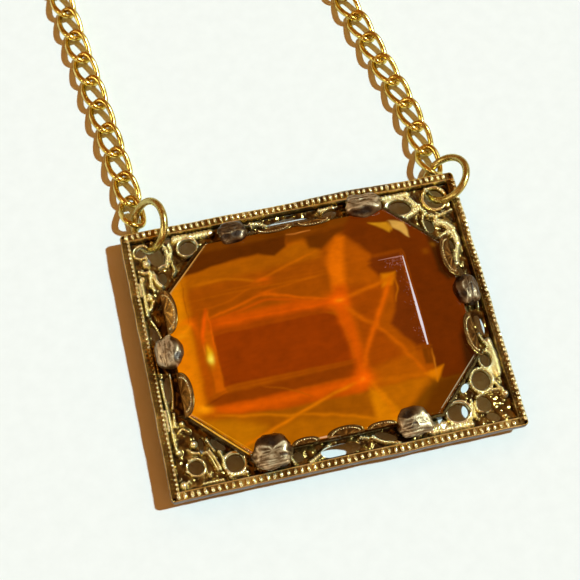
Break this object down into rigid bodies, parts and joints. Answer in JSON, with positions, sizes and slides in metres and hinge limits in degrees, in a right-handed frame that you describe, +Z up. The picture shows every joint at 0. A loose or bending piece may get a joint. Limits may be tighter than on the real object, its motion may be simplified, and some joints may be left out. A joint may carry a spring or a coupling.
{
  "type": "pendant necklace",
  "caption": "Rectangular pierced metal pendant claw-set with a large octagonal amber glass stone, on an open curb chain with jump rings and a spring-ring clasp.",
  "frame": {"origin": "centre of the stone's flat back, on the surface the pendant lies on", "axes": "+X along the pendant's long side, +Y towards the chain, +Z up out of the stone's face"},
  "size_m": [0.0783, 0.1145, 0.0071],
  "materials": {
    "amber_glass": "polished facets",
    "antique_brass": "antiqued, pierced and beaded",
    "worn_bronze": "dark, lumpy, worn",
    "ring_brass": "dull, drawn wire",
    "chain_gold": "bright",
    "clasp_gold": "bright",
    "spring_steel": "drawn wire"
  },
  "bodies": {
    "pendant": {"stone": "amber_glass", "frame_rim": "antique_brass", "corner_panel_top_left": "antique_brass", "corner_panel_top_right": "antique_brass", "corner_panel_bottom_left": "antique_brass", "corner_panel_bottom_right": "antique_brass", "edge_panel_top": "antique_brass", "edge_panel_bottom": "antique_brass", "edge_panel_left": "antique_brass", "edge_panel_right": "antique_brass", "stone_seat": "antique_brass", "bezel_petals": "antique_brass", "claw_top_left": "worn_bronze", "claw_top_right": "worn_bronze", "claw_bottom_left": "worn_bronze", "claw_bottom_right": "worn_bronze", "claw_left": "worn_bronze", "claw_right": "worn_bronze"},
    "left_jump_ring": {"left_jump_ring": "ring_brass"},
    "left_link_01": {"left_link_01": "chain_gold"},
    "left_link_02": {"left_link_02": "chain_gold"},
    "left_link_03": {"left_link_03": "chain_gold"},
    "left_link_04": {"left_link_04": "chain_gold"},
    "left_link_05": {"left_link_05": "chain_gold"},
    "left_link_06": {"left_link_06": "chain_gold"},
    "left_link_07": {"left_link_07": "chain_gold"},
    "left_link_08": {"left_link_08": "chain_gold"},
    "left_link_09": {"left_link_09": "chain_gold"},
    "left_link_10": {"left_link_10": "chain_gold", "left_chain_run": "chain_gold", "left_chain_coil": "chain_gold"},
    "right_jump_ring": {"right_jump_ring": "ring_brass"},
    "right_link_01": {"right_link_01": "chain_gold"},
    "right_link_02": {"right_link_02": "chain_gold"},
    "right_link_03": {"right_link_03": "chain_gold"},
    "right_link_04": {"right_link_04": "chain_gold"},
    "right_link_05": {"right_link_05": "chain_gold"},
    "right_link_06": {"right_link_06": "chain_gold"},
    "right_link_07": {"right_link_07": "chain_gold"},
    "right_link_08": {"right_link_08": "chain_gold", "right_chain_run": "chain_gold", "right_chain_coil": "chain_gold"},
    "left_end_ring": {"left_end_ring": "chain_gold"},
    "right_end_ring": {"right_end_ring": "chain_gold"},
    "clasp": {"clasp_body": "clasp_gold", "clasp_spring": "spring_steel"},
    "clasp_trigger": {"clasp_trigger": "clasp_gold"},
    "end_tag": {"end_tag": "chain_gold"}
  },
  "joints": [
    {"name": "left_jump_ring_swing", "type": "hinge", "parent": "pendant", "child": "left_jump_ring", "pos_m": [-0.0191, 0.0174, 0.00255], "axis": [1, 0, 0], "range_deg": [-12, 12]},
    {"name": "left_link_01_swing", "type": "hinge", "parent": "left_jump_ring", "child": "left_link_01", "pos_m": [-0.02064, 0.02021, 0.00185], "axis": [0.9928, 0.1194, 0], "range_deg": [-10, 5]},
    {"name": "left_link_02_swing", "type": "hinge", "parent": "left_link_01", "child": "left_link_02", "pos_m": [-0.02059, 0.02386, 0.00102], "axis": [-0.9922, -0.125, 0], "range_deg": [-20, 20]},
    {"name": "left_link_03_swing", "type": "hinge", "parent": "left_link_02", "child": "left_link_03", "pos_m": [-0.02111, 0.02778, 0.00102], "axis": [0.9931, 0.1175, 0], "range_deg": [-20, 20]},
    {"name": "left_link_04_swing", "type": "hinge", "parent": "left_link_03", "child": "left_link_04", "pos_m": [-0.02152, 0.0317, 0.00102], "axis": [-0.9941, -0.1089, 0], "range_deg": [-20, 20]},
    {"name": "left_link_05_swing", "type": "hinge", "parent": "left_link_04", "child": "left_link_05", "pos_m": [-0.02197, 0.03563, 0.00102], "axis": [0.9931, 0.1175, 0], "range_deg": [-20, 20]},
    {"name": "left_link_06_swing", "type": "hinge", "parent": "left_link_05", "child": "left_link_06", "pos_m": [-0.02245, 0.03955, 0.00102], "axis": [-0.9936, -0.1132, 0], "range_deg": [-20, 20]},
    {"name": "left_link_07_swing", "type": "hinge", "parent": "left_link_06", "child": "left_link_07", "pos_m": [-0.02286, 0.04348, 0.00102], "axis": [0.9931, 0.1175, 0], "range_deg": [-20, 20]},
    {"name": "left_link_08_swing", "type": "hinge", "parent": "left_link_07", "child": "left_link_08", "pos_m": [-0.02337, 0.04739, 0.00102], "axis": [-0.9914, -0.1305, 0], "range_deg": [-20, 20]},
    {"name": "left_link_09_swing", "type": "hinge", "parent": "left_link_08", "child": "left_link_09", "pos_m": [-0.02389, 0.05131, 0.00102], "axis": [0.9925, 0.1219, 0], "range_deg": [-20, 20]},
    {"name": "left_link_10_swing", "type": "hinge", "parent": "left_link_09", "child": "left_link_10", "pos_m": [-0.02434, 0.05523, 0.00102], "axis": [-0.9936, -0.1132, 0], "range_deg": [-20, 20]},
    {"name": "right_jump_ring_swing", "type": "hinge", "parent": "pendant", "child": "right_jump_ring", "pos_m": [0.0203, 0.0168, 0.0025], "axis": [1, 0, 0], "range_deg": [-15, 3]},
    {"name": "right_link_01_swing", "type": "hinge", "parent": "right_jump_ring", "child": "right_link_01", "pos_m": [0.02112, 0.01938, 0.00183], "axis": [0.9981, 0.061, 0], "range_deg": [-10, 5]},
    {"name": "right_link_02_swing", "type": "hinge", "parent": "right_link_01", "child": "right_link_02", "pos_m": [0.0209, 0.02316, 0.00102], "axis": [-0.9984, -0.0567, 0], "range_deg": [-15, 20]},
    {"name": "right_link_03_swing", "type": "hinge", "parent": "right_link_02", "child": "right_link_03", "pos_m": [0.02069, 0.02711, 0.00102], "axis": [0.9954, 0.0958, 0], "range_deg": [-20, 20]},
    {"name": "right_link_04_swing", "type": "hinge", "parent": "right_link_03", "child": "right_link_04", "pos_m": [0.02014, 0.03102, 0.00102], "axis": [-0.9848, -0.1736, 0], "range_deg": [-20, 20]},
    {"name": "right_link_05_swing", "type": "hinge", "parent": "right_link_04", "child": "right_link_05", "pos_m": [0.01932, 0.03488, 0.00102], "axis": [0.9744, 0.225, 0], "range_deg": [-20, 20]},
    {"name": "right_link_06_swing", "type": "hinge", "parent": "right_link_05", "child": "right_link_06", "pos_m": [0.01837, 0.03871, 0.00102], "axis": [-0.9744, -0.225, 0], "range_deg": [-20, 20]},
    {"name": "right_link_07_swing", "type": "hinge", "parent": "right_link_06", "child": "right_link_07", "pos_m": [0.01755, 0.04258, 0.00102], "axis": [0.9753, 0.2207, 0], "range_deg": [-20, 20]},
    {"name": "right_link_08_swing", "type": "hinge", "parent": "right_link_07", "child": "right_link_08", "pos_m": [0.01662, 0.04642, 0.00102], "axis": [-0.9724, -0.2334, 0], "range_deg": [-20, 20]},
    {"name": "left_end_ring_swing", "type": "hinge", "parent": "left_link_10", "child": "left_end_ring", "pos_m": [0.00015, 0.08015, 0.0022], "axis": [-0.7986, 0.6018, 0], "range_deg": [0, 30]},
    {"name": "right_end_ring_swing", "type": "hinge", "parent": "right_link_08", "child": "right_end_ring", "pos_m": [0.03989, 0.06676, 0.0022], "axis": [-0.4695, 0.8829, 0], "range_deg": [0, 30]},
    {"name": "clasp_swing", "type": "hinge", "parent": "left_end_ring", "child": "clasp", "pos_m": [-0.00199, 0.0773, 0.0015], "axis": [-0.7986, 0.6018, 0], "range_deg": [0, 10]},
    {"name": "clasp_trigger_slide", "type": "hinge", "parent": "clasp", "child": "clasp_trigger", "pos_m": [-0.00466, 0.07376, 0.00107], "axis": [-0.0577, -0.0765, 0.9954], "range_deg": [0, 45], "stiffness_Nm_per_rad": 0.0005, "springref_deg": -20.05},
    {"name": "end_tag_swing", "type": "hinge", "parent": "right_end_ring", "child": "end_tag", "pos_m": [0.03692, 0.06517, 0.00115], "axis": [-0.4695, 0.8829, 0], "range_deg": [0, 12]}
  ]
}
